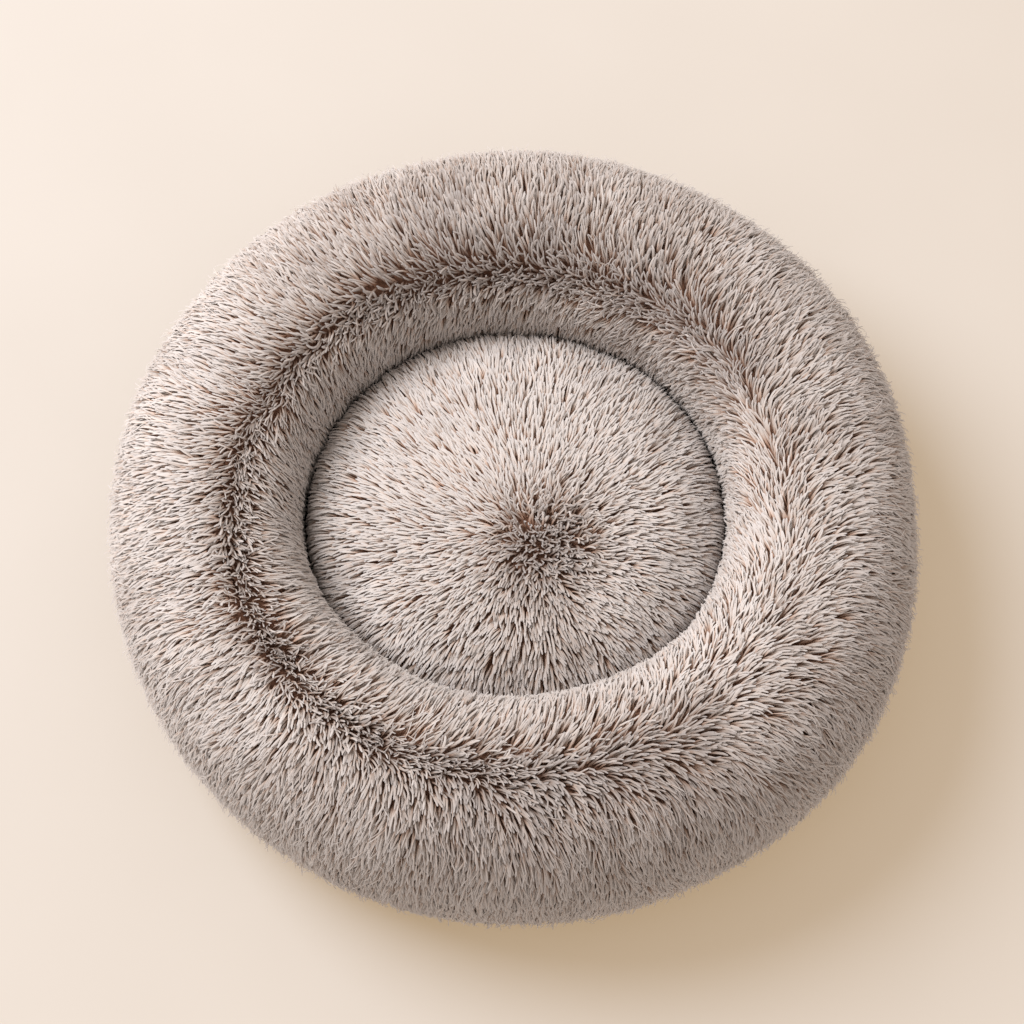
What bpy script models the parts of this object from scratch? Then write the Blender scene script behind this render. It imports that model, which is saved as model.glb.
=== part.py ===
"""Round pet cushion bed: a stuffed ring rim covered in shag plush, with a lift-out cushion.

Frame: metres, +Z up. The origin is the middle of the underside, and the front is towards -Y.
Turned pieces share one number of steps and one set of section angles, so that the layers lie
parallel, one inside the other.
"""

import math

import bmesh
import bpy

TURN_STEPS = 40
SECTION_STEPS = 16
ARC_STEP_LENGTH = 0.010
GAP = 0.0003

# Rim: the outside of the pile. Its section has a rounded lobe for each quarter, and its inner
# wall stands steeper than its outer side.
RIM_OUTER_RADIUS = 0.300
RIM_INNER_RADIUS = 0.157
RIM_CREST_RADIUS = 0.229
RIM_HEIGHT = 0.158
RIM_MIDDLE_Z = 0.076
RIM_OUTER_TOP_ROUNDNESS = 2.4
RIM_INNER_TOP_ROUNDNESS = 2.7
RIM_BOTTOM_ROUNDNESS = 2.8
RIM_PANEL_THICKNESS = 0.016
PARTING_ANGLE = 105.0
PARTING_GAP_ANGLE = 0.15
OUTER_SEAM_ANGLE = -56.0
INNER_SEAM_ANGLE = 234.0

# Fabric and bag thicknesses.
BAG_THICKNESS = 0.0008
RIM_BAG_BOTTOM_Z = 0.0074
RIM_SLIT_SIZE = (0.150, 0.012, 0.010)

# Base and well floor.
BASE_THICKNESS = 0.0040
BASE_RADIUS = 0.2655
BASE_BINDING_WIDTH = 0.0067
BASE_BINDING_Z = (0.0005, 0.0090)
WELL_FLOOR_RADIUS = 0.1835
WELL_FLOOR_Z = (BASE_THICKNESS + GAP, 0.0055)
WELL_BINDING_WIDTH = 0.0055
WELL_BINDING_Z = (BASE_THICKNESS + GAP, 0.0098)

# Cushion.
CUSHION_RADIUS = 0.1553
CUSHION_TOP_Z = 0.101
CUSHION_MIDDLE_Z = 0.053
CUSHION_BOTTOM_Z = 0.007
CUSHION_ROUNDNESS = 4.0
CUSHION_SEAM_ANGLE = -45.0
CUSHION_PILE_TOP = 0.016
CUSHION_PILE_SIDE = 0.008
CUSHION_BAG_BOTTOM_Z = 0.0148
CUSHION_PANEL_RADIUS = 0.1281
CUSHION_PANEL_Z = (0.0104, 0.0116)
PIPING_RADIUS = 0.0030
PIPING_RING_RADIUS = 0.1315
PIPING_Z = 0.0089
PIPING_SIDES = 6
CUSHION_SLIT_SIZE = (0.120, 0.010, 0.010)
CUSHION_SLIT_Y = -0.060

# Care label, sewn into the base seam at the back.
LABEL_WIDTH = 0.038
LABEL_INNER_RADIUS = BASE_RADIUS + BASE_BINDING_WIDTH + 2 * GAP
LABEL_OUTER_RADIUS = 0.286
LABEL_Z = (0.0020, 0.0026)

# Zips. Each lies on an arc about the bed's axis. Heights are from the middle of the tape.
ZIP_TEETH_INNER = 0.0005
ZIP_TEETH_OUTER = 0.0030
ZIP_TAPE_OUTER = 0.0140
ZIP_SLOT_HALF_WIDTH = 0.0080
ZIP_TAPE_HALF_THICKNESS = 0.0003
ZIP_TEETH_HALF_THICKNESS = 0.0008
ZIP_STOP_LENGTH = 0.0030
ZIP_SLOT_MARGIN = 0.0240
SLIDER_LENGTH = 0.0100
SLIDER_WIDTH = 0.0080
SLIDER_PLATE = 0.0010
SLIDER_NECK_WIDTH = 0.0004
SLIDER_NECK_LENGTH = 0.0050
SLIDER_CLEARANCE = 0.0003
LUG_WIDTH = 0.0020
LUG_LENGTH = 0.0033
LUG_WALL = 0.0006
TUNNEL_HEIGHT = 0.0015
PULL_BAR_RADIUS = 0.00045
PULL_ARM_INNER = 0.0014
PULL_ARM_OUTER = 0.0025
PULL_ARM_LENGTH = 0.0060
PULL_THICKNESS = 0.0009
PULL_TAB_LENGTH = 0.0170
PULL_TAB_HALF_WIDTH = 0.0034
PULL_EYE_RADIUS = 0.0015

BASE_ZIP = {
    "prefix": "base",
    "radius": 0.245,
    "tape_z": 0.0046,
    "start_angle": 50.0,
    "end_angle": 130.0,
}
CUSHION_ZIP = {
    "prefix": "cushion",
    "radius": 0.112,
    "tape_z": 0.0122,
    "start_angle": 40.0,
    "end_angle": 140.0,
}

COLOURS = {
    "plush": ((0.47, 0.40, 0.36, 1.0), 0.95, 0.0),
    "bag": ((0.85, 0.85, 0.83, 1.0), 0.90, 0.0),
    "filling": ((0.93, 0.93, 0.91, 1.0), 1.00, 0.0),
    "base_fabric": ((0.20, 0.17, 0.155, 1.0), 0.85, 0.0),
    "lining": ((0.42, 0.36, 0.32, 1.0), 0.90, 0.0),
    "binding": ((0.28, 0.23, 0.20, 1.0), 0.85, 0.0),
    "label": ((0.92, 0.91, 0.88, 1.0), 0.70, 0.0),
    "zip_tape": ((0.26, 0.22, 0.19, 1.0), 0.85, 0.0),
    "zip_teeth": ((0.22, 0.19, 0.17, 1.0), 0.40, 0.0),
    "zip_metal": ((0.60, 0.58, 0.55, 1.0), 0.30, 1.0),
}


def clear_scene():
    for item in list(bpy.data.objects):
        bpy.data.objects.remove(item, do_unlink=True)


def new_collection(name):
    collection = bpy.data.collections.new(name)
    bpy.context.scene.collection.children.link(collection)
    return collection


def make_material(name):
    colour, roughness, metallic = COLOURS[name]
    material = bpy.data.materials.new(name)
    material.use_nodes = True
    shader = material.node_tree.nodes["Principled BSDF"]
    shader.inputs["Base Color"].default_value = colour
    shader.inputs["Roughness"].default_value = roughness
    shader.inputs["Metallic"].default_value = metallic
    material.diffuse_color = colour
    return material


def add_object(name, mesh, collection, material=None):
    item = bpy.data.objects.new(name, mesh)
    collection.objects.link(item)
    if material:
        mesh.materials.append(material)
    return item


def as_cutter(item):
    item.hide_render = True
    item.display_type = "WIRE"
    return item


def combine(item, other, operation):
    modifier = item.modifiers.new(f"{operation.lower()} {other.name}", "BOOLEAN")
    modifier.operation = operation
    modifier.solver = "EXACT"
    modifier.object = other


def turned(name, profile, closed, collection, material=None):
    """A profile of (radius, z) points turned about Z; it runs down its outer side."""
    mesh = bpy.data.meshes.new(name)
    count = len(profile)
    edges = [(i, i + 1) for i in range(count - 1)]
    if closed:
        edges.append((count - 1, 0))
    mesh.from_pydata([(radius, 0.0, z) for radius, z in profile], edges, [])
    item = add_object(name, mesh, collection, material)
    screw = item.modifiers.new("turn", "SCREW")
    screw.steps = TURN_STEPS
    screw.render_steps = TURN_STEPS
    screw.use_merge_vertices = True
    screw.merge_threshold = 0.00001
    screw.use_smooth_shade = True
    return item


def arc_bar(name, radii, heights, angles, collection, material=None):
    """A bar of rectangular section that follows an arc about Z, between two angles in degrees."""
    (inner, outer), (low, high), (start, end) = radii, heights, angles
    length = math.radians(end - start) * (inner + outer) / 2
    steps = max(1, round(length / ARC_STEP_LENGTH))
    build = bmesh.new()
    turn = math.radians(start)
    corners = [(inner, low), (outer, low), (outer, high), (inner, high)]
    points = [
        build.verts.new((radius * math.cos(turn), radius * math.sin(turn), z))
        for radius, z in corners
    ]
    build.faces.new(points)
    bmesh.ops.spin(
        build,
        geom=list(build.faces) + list(build.edges) + list(build.verts),
        cent=(0.0, 0.0, 0.0),
        axis=(0.0, 0.0, 1.0),
        angle=math.radians(end - start),
        steps=steps,
        use_duplicate=False,
    )
    bmesh.ops.recalc_face_normals(build, faces=list(build.faces))
    mesh = bpy.data.meshes.new(name)
    build.to_mesh(mesh)
    build.free()
    return add_object(name, mesh, collection, material)


def box(name, size, centre, collection, material=None):
    build = bmesh.new()
    bmesh.ops.create_cube(build, size=1.0)
    bmesh.ops.scale(build, vec=size, verts=build.verts)
    mesh = bpy.data.meshes.new(name)
    build.to_mesh(mesh)
    build.free()
    item = add_object(name, mesh, collection, material)
    item.location = centre
    return item


def disc(name, radius, heights, collection, material=None):
    low, high = heights
    profile = [(0.0, high), (radius, high), (radius, low), (0.0, low)]
    return turned(name, profile, False, collection, material)


def signed_power(value, power):
    return math.copysign(abs(value) ** power, value)


def lobe(angle, reach_out, reach_in, reach_up, reach_down, top_roundness, bottom_roundness):
    """A point of a rounded section at an angle in degrees: 0 is outwards and 90 is up.

    The top's roundness is a pair, for the outer and the inner side.
    """
    turn = math.radians(angle)
    across, up = math.cos(turn), math.sin(turn)
    outer_top, inner_top = top_roundness
    side_top = outer_top if across >= 0.0 else inner_top
    power = 2.0 / (side_top if up >= 0.0 else bottom_roundness)
    reach_across = reach_out if across >= 0.0 else reach_in
    reach_height = reach_up if up >= 0.0 else reach_down
    return reach_across * signed_power(across, power), reach_height * signed_power(up, power)


def rim_point(angle, inset=0.0, bottom_z=0.0):
    across, height = lobe(
        angle,
        RIM_OUTER_RADIUS - RIM_CREST_RADIUS - inset,
        RIM_CREST_RADIUS - RIM_INNER_RADIUS - inset,
        RIM_HEIGHT - RIM_MIDDLE_Z - inset,
        RIM_MIDDLE_Z - bottom_z,
        (RIM_OUTER_TOP_ROUNDNESS, RIM_INNER_TOP_ROUNDNESS),
        RIM_BOTTOM_ROUNDNESS,
    )
    return RIM_CREST_RADIUS + across, RIM_MIDDLE_Z + height


def section_angles(first, last):
    """Both end angles, and between them the whole section steps, from high to low."""
    step = 360.0 / SECTION_STEPS
    steps = [360.0 - step * i for i in range(2 * SECTION_STEPS)]
    return [first] + [angle for angle in steps if last + 1.0 < angle < first - 1.0] + [last]


def rim_panel(name, first_angle, last_angle, collection, material):
    """A plush panel over part of the rim, from a higher angle to a lower one along its outside."""
    angles = section_angles(first_angle, last_angle)
    outside = [rim_point(angle) for angle in angles]
    hidden_z = RIM_BAG_BOTTOM_Z - GAP
    inside = [rim_point(angle, RIM_PANEL_THICKNESS, hidden_z) for angle in reversed(angles)]
    return turned(name, outside + inside, True, collection, material)


def ring_profile(inset, bottom_z):
    """A whole ring section, starting at the crest and running down its outer side."""
    turns = [360.0 * i / SECTION_STEPS for i in range(SECTION_STEPS)]
    return [rim_point(90.0 - turn, inset, bottom_z) for turn in turns]


def cushion_point(angle, inset_top=0.0, inset_side=0.0, bottom_z=CUSHION_BOTTOM_Z):
    across, height = lobe(
        angle,
        CUSHION_RADIUS - inset_side,
        CUSHION_RADIUS - inset_side,
        CUSHION_TOP_Z - CUSHION_MIDDLE_Z - inset_top,
        CUSHION_MIDDLE_Z - bottom_z,
        (CUSHION_ROUNDNESS, CUSHION_ROUNDNESS),
        CUSHION_ROUNDNESS,
    )
    return max(across, 0.0), CUSHION_MIDDLE_Z + height


def cushion_profile(inset_top, inset_side, bottom_z):
    """The cushion's section, from the top on the axis, round the side, to the bottom."""
    angles = section_angles(90.0, -90.0)
    points = [cushion_point(angle, inset_top, inset_side, bottom_z) for angle in angles]
    points[0] = (0.0, points[0][1])
    points[-1] = (0.0, points[-1][1])
    return points


def build_rim(parts, cutters, paint):
    rim_panel(
        "rim_outer_plush_panel",
        PARTING_ANGLE - PARTING_GAP_ANGLE,
        OUTER_SEAM_ANGLE,
        parts,
        paint["plush"],
    )
    rim_panel(
        "rim_inner_plush_panel",
        INNER_SEAM_ANGLE,
        PARTING_ANGLE + PARTING_GAP_ANGLE,
        parts,
        paint["plush"],
    )
    bag_inset = RIM_PANEL_THICKNESS + 4 * GAP
    bag = turned(
        "rim_inner_bag", ring_profile(bag_inset, RIM_BAG_BOTTOM_Z), True, parts, paint["bag"]
    )
    hollow_inset = bag_inset + BAG_THICKNESS
    hollow_z = RIM_BAG_BOTTOM_Z + BAG_THICKNESS
    hollow = turned("rim bag hollow", ring_profile(hollow_inset, hollow_z), True, cutters)
    combine(bag, as_cutter(hollow), "DIFFERENCE")
    slit = box(
        "rim bag slit",
        RIM_SLIT_SIZE,
        (0.0, -RIM_CREST_RADIUS, RIM_BAG_BOTTOM_Z),
        cutters,
    )
    combine(bag, as_cutter(slit), "DIFFERENCE")
    turned(
        "rim_filling",
        ring_profile(hollow_inset + 2 * GAP, hollow_z + 2 * GAP),
        True,
        parts,
        paint["filling"],
    )


def binding_ring(name, inner_radius, width, heights, parts, material):
    low, high = heights
    outer_radius = inner_radius + width
    profile = [(inner_radius, high), (outer_radius, high), (outer_radius, low), (inner_radius, low)]
    return turned(name, profile, True, parts, material)


def build_base(parts, cutters, paint):
    base = disc("base_panel", BASE_RADIUS, (0.0, BASE_THICKNESS), parts, paint["base_fabric"])
    cut_zip_slot(base, BASE_ZIP, (-BASE_THICKNESS, 2 * BASE_THICKNESS), cutters)
    binding_ring(
        "base_seam_binding",
        BASE_RADIUS + GAP,
        BASE_BINDING_WIDTH,
        BASE_BINDING_Z,
        parts,
        paint["binding"],
    )
    disc("well_floor_panel", WELL_FLOOR_RADIUS, WELL_FLOOR_Z, parts, paint["lining"])
    binding_ring(
        "well_seam_binding",
        WELL_FLOOR_RADIUS + GAP,
        WELL_BINDING_WIDTH,
        WELL_BINDING_Z,
        parts,
        paint["binding"],
    )
    label_low, label_high = LABEL_Z
    box(
        "care_label",
        (LABEL_WIDTH, LABEL_OUTER_RADIUS - LABEL_INNER_RADIUS, label_high - label_low),
        (
            0.0,
            (LABEL_OUTER_RADIUS + LABEL_INNER_RADIUS) / 2,
            (label_high + label_low) / 2,
        ),
        parts,
        paint["label"],
    )


def build_cushion(parts, cutters, paint):
    angles = section_angles(90.0, CUSHION_SEAM_ANGLE)
    outside = [cushion_point(angle) for angle in angles]
    inside = [
        cushion_point(angle, CUSHION_PILE_TOP, CUSHION_PILE_SIDE, CUSHION_BAG_BOTTOM_Z - GAP)
        for angle in reversed(angles)
    ]
    outside[0] = (0.0, outside[0][1])
    inside[-1] = (0.0, inside[-1][1])
    turned("cushion_plush_cover", outside + inside, False, parts, paint["plush"])

    panel = disc(
        "cushion_underside_panel",
        CUSHION_PANEL_RADIUS,
        CUSHION_PANEL_Z,
        parts,
        paint["lining"],
    )
    cut_zip_slot(panel, CUSHION_ZIP, (0.0, 2 * CUSHION_PANEL_Z[1]), cutters)

    turns = [math.radians(90.0 - 360.0 * i / PIPING_SIDES) for i in range(PIPING_SIDES)]
    piping_profile = [
        (
            PIPING_RING_RADIUS + PIPING_RADIUS * math.cos(turn),
            PIPING_Z + PIPING_RADIUS * math.sin(turn),
        )
        for turn in turns
    ]
    turned("cushion_piping", piping_profile, True, parts, paint["binding"])

    top_inset = CUSHION_PILE_TOP + 4 * GAP
    side_inset = CUSHION_PILE_SIDE + 4 * GAP
    bag = turned(
        "cushion_inner_bag",
        cushion_profile(top_inset, side_inset, CUSHION_BAG_BOTTOM_Z),
        False,
        parts,
        paint["bag"],
    )
    top_inset += BAG_THICKNESS
    side_inset += BAG_THICKNESS
    hollow_z = CUSHION_BAG_BOTTOM_Z + BAG_THICKNESS
    hollow = turned(
        "cushion bag hollow", cushion_profile(top_inset, side_inset, hollow_z), False, cutters
    )
    combine(bag, as_cutter(hollow), "DIFFERENCE")
    slit = box(
        "cushion bag slit",
        CUSHION_SLIT_SIZE,
        (0.0, CUSHION_SLIT_Y, CUSHION_BAG_BOTTOM_Z),
        cutters,
    )
    combine(bag, as_cutter(slit), "DIFFERENCE")
    turned(
        "cushion_filling",
        cushion_profile(top_inset + 2 * GAP, side_inset + 2 * GAP, hollow_z + 2 * GAP),
        False,
        parts,
        paint["filling"],
    )


def degrees_of(length, radius):
    return math.degrees(length / radius)


def cut_zip_slot(panel, zip_layout, heights, cutters):
    radius = zip_layout["radius"]
    margin = degrees_of(ZIP_SLOT_MARGIN, radius)
    slot = arc_bar(
        f"{zip_layout['prefix']} zip slot",
        (radius - ZIP_SLOT_HALF_WIDTH, radius + ZIP_SLOT_HALF_WIDTH),
        heights,
        (zip_layout["start_angle"] - margin, zip_layout["end_angle"] + margin),
        cutters,
    )
    combine(panel, as_cutter(slot), "DIFFERENCE")


def build_zip(zip_layout, parts, cutters, paint):
    prefix, radius, tape_z = zip_layout["prefix"], zip_layout["radius"], zip_layout["tape_z"]
    start, end = zip_layout["start_angle"], zip_layout["end_angle"]
    margin = degrees_of(ZIP_SLOT_MARGIN, radius)
    stop_turn = degrees_of(ZIP_STOP_LENGTH, radius)
    gap_turn = degrees_of(GAP, radius)
    tape_heights = (tape_z - ZIP_TAPE_HALF_THICKNESS, tape_z + ZIP_TAPE_HALF_THICKNESS)
    teeth_heights = (tape_z - ZIP_TEETH_HALF_THICKNESS, tape_z + ZIP_TEETH_HALF_THICKNESS)
    sides = {
        "outer": (radius + ZIP_TEETH_INNER, radius + ZIP_TEETH_OUTER),
        "inner": (radius - ZIP_TEETH_OUTER, radius - ZIP_TEETH_INNER),
    }
    tapes = {
        "outer": (radius + ZIP_TEETH_OUTER + GAP, radius + ZIP_TAPE_OUTER),
        "inner": (radius - ZIP_TAPE_OUTER, radius - ZIP_TEETH_OUTER - GAP),
    }
    for side in ("outer", "inner"):
        arc_bar(
            f"{prefix}_zip_tape_{side}",
            tapes[side],
            tape_heights,
            (start - margin, end + margin),
            parts,
            paint["zip_tape"],
        )
        arc_bar(
            f"{prefix}_zip_teeth_{side}",
            sides[side],
            teeth_heights,
            (start, end),
            parts,
            paint["zip_teeth"],
        )
        arc_bar(
            f"{prefix}_zip_top_stop_{side}",
            sides[side],
            teeth_heights,
            (start - gap_turn - stop_turn, start - gap_turn),
            parts,
            paint["zip_metal"],
        )
    arc_bar(
        f"{prefix}_zip_bottom_stop",
        (radius - ZIP_TEETH_OUTER, radius + ZIP_TEETH_OUTER),
        teeth_heights,
        (end + gap_turn, end + gap_turn + stop_turn),
        parts,
        paint["zip_metal"],
    )
    build_slider(zip_layout, parts, cutters, paint)


def build_slider(zip_layout, parts, cutters, paint):
    """The slider and its pull, laid out at angle 0 and turned to the closed end of the zip.

    Local X is outwards from the bed's axis, and local Y is along the zip, towards its open end.
    """
    prefix, radius, tape_z = zip_layout["prefix"], zip_layout["radius"], zip_layout["tape_z"]
    plate_offset = ZIP_TEETH_HALF_THICKNESS + SLIDER_CLEARANCE + SLIDER_PLATE / 2
    plate_size = (SLIDER_WIDTH, SLIDER_LENGTH, SLIDER_PLATE)
    plate_bottom = tape_z - plate_offset - SLIDER_PLATE / 2
    lug_height = TUNNEL_HEIGHT + LUG_WALL
    bar_z = plate_bottom - TUNNEL_HEIGHT / 2
    half_length = degrees_of(SLIDER_LENGTH / 2, radius)
    turn = math.radians(zip_layout["start_angle"] + half_length)

    carrier = bpy.data.objects.new(f"{prefix} zip slider place", None)
    parts.objects.link(carrier)
    carrier.rotation_euler = (0.0, 0.0, turn)

    slider = box(
        f"{prefix}_zip_slider",
        plate_size,
        (radius, 0.0, tape_z + plate_offset),
        parts,
        paint["zip_metal"],
    )
    bevel = slider.modifiers.new("soft corners", "BEVEL")
    bevel.width = SLIDER_PLATE * 0.3
    bevel.segments = 1
    slider.parent = carrier
    extras = [
        box(
            f"{prefix} slider lower plate",
            plate_size,
            (radius, 0.0, tape_z - plate_offset),
            cutters,
        ),
        box(
            f"{prefix} slider neck",
            (SLIDER_NECK_WIDTH, SLIDER_NECK_LENGTH, 2 * plate_offset),
            (radius, 0.0, tape_z),
            cutters,
        ),
        box(
            f"{prefix} slider lug",
            (LUG_WIDTH, LUG_LENGTH, lug_height + SLIDER_PLATE / 2),
            (radius, 0.0, plate_bottom + SLIDER_PLATE / 4 - lug_height / 2),
            cutters,
        ),
    ]
    for extra in extras:
        extra.parent = carrier
        combine(slider, as_cutter(extra), "UNION")
    tunnel = box(
        f"{prefix} slider tunnel",
        (2 * LUG_WIDTH, LUG_LENGTH - 2 * LUG_WALL, TUNNEL_HEIGHT),
        (radius, 0.0, bar_z),
        cutters,
    )
    tunnel.parent = carrier
    combine(slider, as_cutter(tunnel), "DIFFERENCE")
    build_pull(prefix, carrier, (radius, 0.0, bar_z), parts, cutters, paint)


def build_pull(prefix, carrier, hinge_point, parts, cutters, paint):
    """The pull's origin is on its hinge: the bar through the slider's lug."""
    arm_width = PULL_ARM_OUTER - PULL_ARM_INNER
    arm_middle = (PULL_ARM_OUTER + PULL_ARM_INNER) / 2
    arm_start = -PULL_BAR_RADIUS
    pull = box(
        f"{prefix}_zip_pull",
        (2 * PULL_TAB_HALF_WIDTH, PULL_TAB_LENGTH, PULL_THICKNESS),
        (0.0, 0.0, 0.0),
        parts,
        paint["zip_metal"],
    )
    for point in pull.data.vertices:
        point.co.y += PULL_ARM_LENGTH + PULL_TAB_LENGTH / 2
    pull.location = hinge_point
    pull.parent = carrier
    corners = pull.modifiers.new("round corners", "BEVEL")
    corners.width = PULL_THICKNESS * 0.25
    corners.segments = 1
    pieces = [
        box(
            f"{prefix} pull bar",
            (2 * PULL_ARM_OUTER, 2 * PULL_BAR_RADIUS, 2 * PULL_BAR_RADIUS),
            hinge_point,
            cutters,
        )
    ]
    arm_length = PULL_ARM_LENGTH + PULL_BAR_RADIUS + PULL_THICKNESS
    for side in (-1, 1):
        centre = (
            hinge_point[0] + side * arm_middle,
            hinge_point[1] + arm_start + arm_length / 2,
            hinge_point[2],
        )
        size = (arm_width, arm_length, PULL_THICKNESS * 0.96)
        pieces.append(box(f"{prefix} pull arm {side}", size, centre, cutters))
    for piece in pieces:
        piece.parent = carrier
        combine(pull, as_cutter(piece), "UNION")
    eye_mesh = bpy.data.meshes.new(f"{prefix} pull eye")
    eye_build = bmesh.new()
    bmesh.ops.create_cone(
        eye_build,
        cap_ends=True,
        segments=12,
        radius1=PULL_EYE_RADIUS,
        radius2=PULL_EYE_RADIUS,
        depth=4 * PULL_THICKNESS,
    )
    eye_build.to_mesh(eye_mesh)
    eye_build.free()
    eye = add_object(f"{prefix} pull eye", eye_mesh, cutters)
    eye.location = (
        hinge_point[0],
        hinge_point[1] + PULL_ARM_LENGTH + PULL_TAB_LENGTH - 2 * PULL_EYE_RADIUS,
        hinge_point[2],
    )
    eye.parent = carrier
    combine(pull, as_cutter(eye), "DIFFERENCE")


def main():
    clear_scene()
    parts = new_collection("pet_cushion_bed")
    cutters = new_collection("cutters")
    paint = {name: make_material(name) for name in COLOURS}
    build_rim(parts, cutters, paint)
    build_base(parts, cutters, paint)
    build_cushion(parts, cutters, paint)
    for zip_layout in (BASE_ZIP, CUSHION_ZIP):
        build_zip(zip_layout, parts, cutters, paint)


main()
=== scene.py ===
"""Looks of the round pet cushion bed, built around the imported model.

The rim and the cushion are cloth skins, eased by a short simulation, with shag pile grown
from them as real strands. The underside, the seams and the zips are separate detailed pieces.
Metres, +Z up; the bed's front is towards -Y. Angles about Z are in degrees from +X, and those
called turns are in radians.
"""

import math

import bmesh
import bpy
import numpy as np
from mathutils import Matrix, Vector
from mathutils.kdtree import KDTree

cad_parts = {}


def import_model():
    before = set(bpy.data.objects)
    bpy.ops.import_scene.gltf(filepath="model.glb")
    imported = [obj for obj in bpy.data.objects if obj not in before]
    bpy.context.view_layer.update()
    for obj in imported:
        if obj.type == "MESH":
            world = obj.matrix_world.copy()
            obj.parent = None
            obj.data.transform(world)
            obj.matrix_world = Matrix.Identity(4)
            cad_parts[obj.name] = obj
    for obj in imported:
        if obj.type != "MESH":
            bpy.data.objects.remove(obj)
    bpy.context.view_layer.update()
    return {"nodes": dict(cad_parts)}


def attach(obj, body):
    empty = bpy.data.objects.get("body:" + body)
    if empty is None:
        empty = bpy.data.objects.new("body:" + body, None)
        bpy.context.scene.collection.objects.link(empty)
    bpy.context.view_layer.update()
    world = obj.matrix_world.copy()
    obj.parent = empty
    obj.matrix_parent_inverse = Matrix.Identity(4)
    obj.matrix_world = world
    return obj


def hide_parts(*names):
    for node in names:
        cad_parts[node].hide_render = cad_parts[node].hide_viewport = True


RANDOM = np.random.default_rng(158)

# Rim section, the outside of the pile. A roundness of 2 is an ellipse, and more is squarer.
RIM_CREST_RADIUS = 0.229
RIM_REACH_OUT = 0.071
RIM_REACH_IN = 0.072
RIM_MIDDLE_Z = 0.076
RIM_REACH_UP = 0.082
RIM_OUTER_TOP_ROUNDNESS = 2.4
RIM_INNER_TOP_ROUNDNESS = 2.7
RIM_BOTTOM_ROUNDNESS = 2.8
RIM_SKIN_BOTTOM_Z = 0.0072
OUTER_SEAM_ANGLE = -56.0
INNER_SEAM_ANGLE = 234.0
PARTING_ANGLE = 105.0
RIM_PILE_DEPTH = 0.0100
RIM_AROUND = 180
RIM_ROWS = 64

# Cushion section, the outside of the pile.
CUSHION_RADIUS = 0.1553
CUSHION_TOP_Z = 0.101
CUSHION_MIDDLE_Z = 0.053
CUSHION_SKIN_BOTTOM_Z = 0.0145
CUSHION_TOP_ROUNDNESS = 7.5
CUSHION_BOTTOM_ROUNDNESS = 4.0
CUSHION_SEAM_ANGLE = -45.0
CUSHION_PILE_TOP = 0.0100
CUSHION_PILE_SIDE = 0.0050
CUSHION_CROWN = 0.0022
CUSHION_AROUND = 120
CUSHION_ROWS = 48
WHORL = (0.0240, -0.0190)
WHORL_RADIUS = 0.030
FLOW_CENTRE = (0.0140, -0.0140)

# Covers. Tousled pile opens down to the cloth, which lies deeper there.
COVER_THICKNESS = 0.0014
TOUSLED_DEPTH = 0.0060
CLOTH_FRAMES = 20
CLOTH_SETTINGS = {
    "quality": 6,
    "mass": 0.3,
    "tension_stiffness": 15.0,
    "compression_stiffness": 15.0,
    "shear_stiffness": 5.0,
    "bending_stiffness": 0.5,
    "vertex_group_mass": "pinned",
    "use_pressure": True,
    "uniform_pressure_force": 4.0,
}

# Strands: shares of the way from root to tip, and the thickness there.
STRAND_SHARE = np.array([0.0, 0.28, 0.55, 0.80, 0.95, 1.0])
STRAND_TAPER = np.array([0.80, 1.0, 1.0, 0.96, 0.72, 0.0])
STRAND_FORWARD = STRAND_SHARE**1.3
STRAND_RISE = 1.0 - (1.0 - STRAND_SHARE) ** 1.9
STRAND_FLATNESS = 0.58
STRAND_SIDES = 3
STRAND_RADIUS = 0.00080
STRAND_SPACING = 0.0021
STRANDS_PER_PIECE = 6500
GUIDE_SPACING = 0.0044
CLUMP_POWER = 1.4
FUZZ_RADIUS = 0.00040
FUZZ_SPACING = 0.0046
FUZZ_REACH = 0.46
FIBRE_SOFTNESS = 0.76
SHADE_CELLS = 64
RIM_PILE_LENGTH = 0.0150
CUSHION_PILE_LENGTH = 0.0145

# Random ranges.
LENGTH_RANGE = (0.76, 1.16)
RIM_LIFT_RANGE = (0.60, 1.06)
CUSHION_LIFT_RANGE = (0.62, 1.04)
RADIUS_RANGE = (0.72, 1.22)
FLOOR_GAP_RANGE = (0.0006, 0.0035)

# Stray, curl and twist of calm pile, and how much more of each tousled pile has.
RIM_HABITS = ((7.0, 13.0), (14.0, 38.0), (0.0007, 0.0010))
CUSHION_HABITS = ((6.0, 50.0), (12.0, 60.0), (0.0006, 0.0014))

# The care label lies under the pile at the back.
LABEL_HALF_WIDTH = 0.024
LABEL_CLEARANCE = 0.0034

# Zip teeth: steps of each one's section as (offset across, half height, half length).
TOOTH_PITCH = 0.0016
TOOTH_RINGS = (
    (-0.00025, 0.00030, 0.00022),
    (0.00005, 0.00062, 0.00046),
    (0.00060, 0.00066, 0.00050),
    (0.00110, 0.00058, 0.00034),
    (0.00190, 0.00072, 0.00044),
    (0.00270, 0.00072, 0.00040),
    (0.00295, 0.00045, 0.00024),
)

# Grip dots: steps of each one's section as (share of the radius, height).
DOT_PITCH = 0.012
DOT_RADIUS = 0.002
DOT_RINGS = ((1.0, 0.0), (0.97, -0.00022), (0.80, -0.00046), (0.45, -0.00058))

# Camera and key light.
CAMERA_PLACE = (-0.0029, -0.6582, 1.6594)
CAMERA_TILT = 22.8
CAMERA_LENS = 81.0
CAMERA_SENSOR = 36.0
KEY_PLACE = (-2.55, 1.40, 3.1)
KEY_TARGET = (0.0, 0.0, 0.05)
KEY_SIZE = 2.8
KEY_POWER = 326.0
KEY_COLOUR = (1.0, 1.0, 0.995)


# ---- helpers


def degrees_apart(angle, centre):
    return (angle - centre + 180.0) % 360.0 - 180.0


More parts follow.
